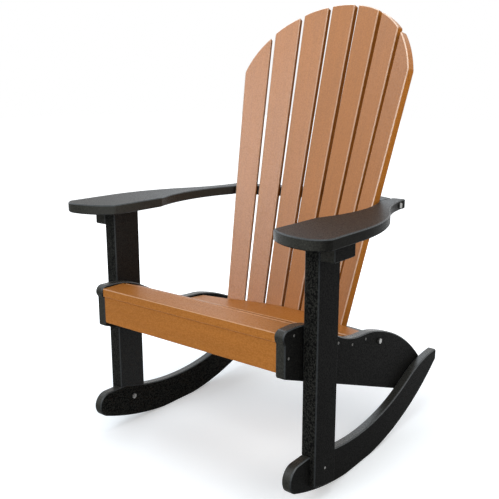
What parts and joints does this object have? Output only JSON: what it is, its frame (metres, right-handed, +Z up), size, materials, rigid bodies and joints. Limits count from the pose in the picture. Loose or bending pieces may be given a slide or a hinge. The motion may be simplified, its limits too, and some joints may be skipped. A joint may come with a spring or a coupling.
{
  "type": "rocking adirondack chair",
  "caption": "Outdoor rocking chair of plastic lumber: fan-shaped slatted back, contoured slat seat, wide flat arms, black side frames and curved rockers.",
  "frame": {"origin": "On the ground line under the rockers, in the middle of the chair's width and of its depth.", "axes": "+Z up, the sitter faces -Y, +X to the right as seen from the front; the chair is the same on both sides of the plane X = 0."},
  "size_m": [0.804, 0.765, 1.1612],
  "materials": {
    "cedar_lumber": "orange-brown plastic lumber, softly shining, fine lengthwise grain",
    "black_lumber": "black plastic lumber, softly shining, fine speckled grain",
    "stainless": "plain stainless steel"
  },
  "bodies": {
    "root": {"seat_front_slat": "cedar_lumber", "front_apron": "cedar_lumber", "seat_slat_2": "cedar_lumber", "seat_slat_3": "cedar_lumber", "seat_slat_4": "cedar_lumber", "seat_slat_5": "cedar_lumber", "seat_rear_board": "cedar_lumber", "back_slat_1": "cedar_lumber", "back_slat_2": "cedar_lumber", "back_slat_3": "cedar_lumber", "back_slat_4": "cedar_lumber", "back_slat_5": "cedar_lumber", "back_slat_6": "cedar_lumber", "back_slat_7": "cedar_lumber", "rocker_left": "black_lumber", "rocker_right": "black_lumber", "leg_left": "black_lumber", "leg_right": "black_lumber", "side_rail_left": "black_lumber", "side_rail_right": "black_lumber", "arm_left": "black_lumber", "arm_right": "black_lumber", "arm_block_left": "black_lumber", "arm_block_right": "black_lumber", "arm_brace": "black_lumber", "lower_back_brace": "black_lumber", "leg_rail_bolt_left_1": "stainless", "rocker_rail_bolt_left_1": "stainless", "leg_rail_bolt_left_2": "stainless", "rocker_rail_bolt_left_2": "stainless", "lower_brace_bolt_left": "stainless", "arm_tail_bolt_left": "stainless", "rocker_bolt_left": "stainless", "rocker_nut_left": "stainless", "leg_rail_bolt_right_1": "stainless", "rocker_rail_bolt_right_1": "stainless", "leg_rail_bolt_right_2": "stainless", "rocker_rail_bolt_right_2": "stainless", "lower_brace_bolt_right": "stainless", "arm_tail_bolt_right": "stainless", "rocker_bolt_right": "stainless", "rocker_nut_right": "stainless"}
  },
  "joints": []
}
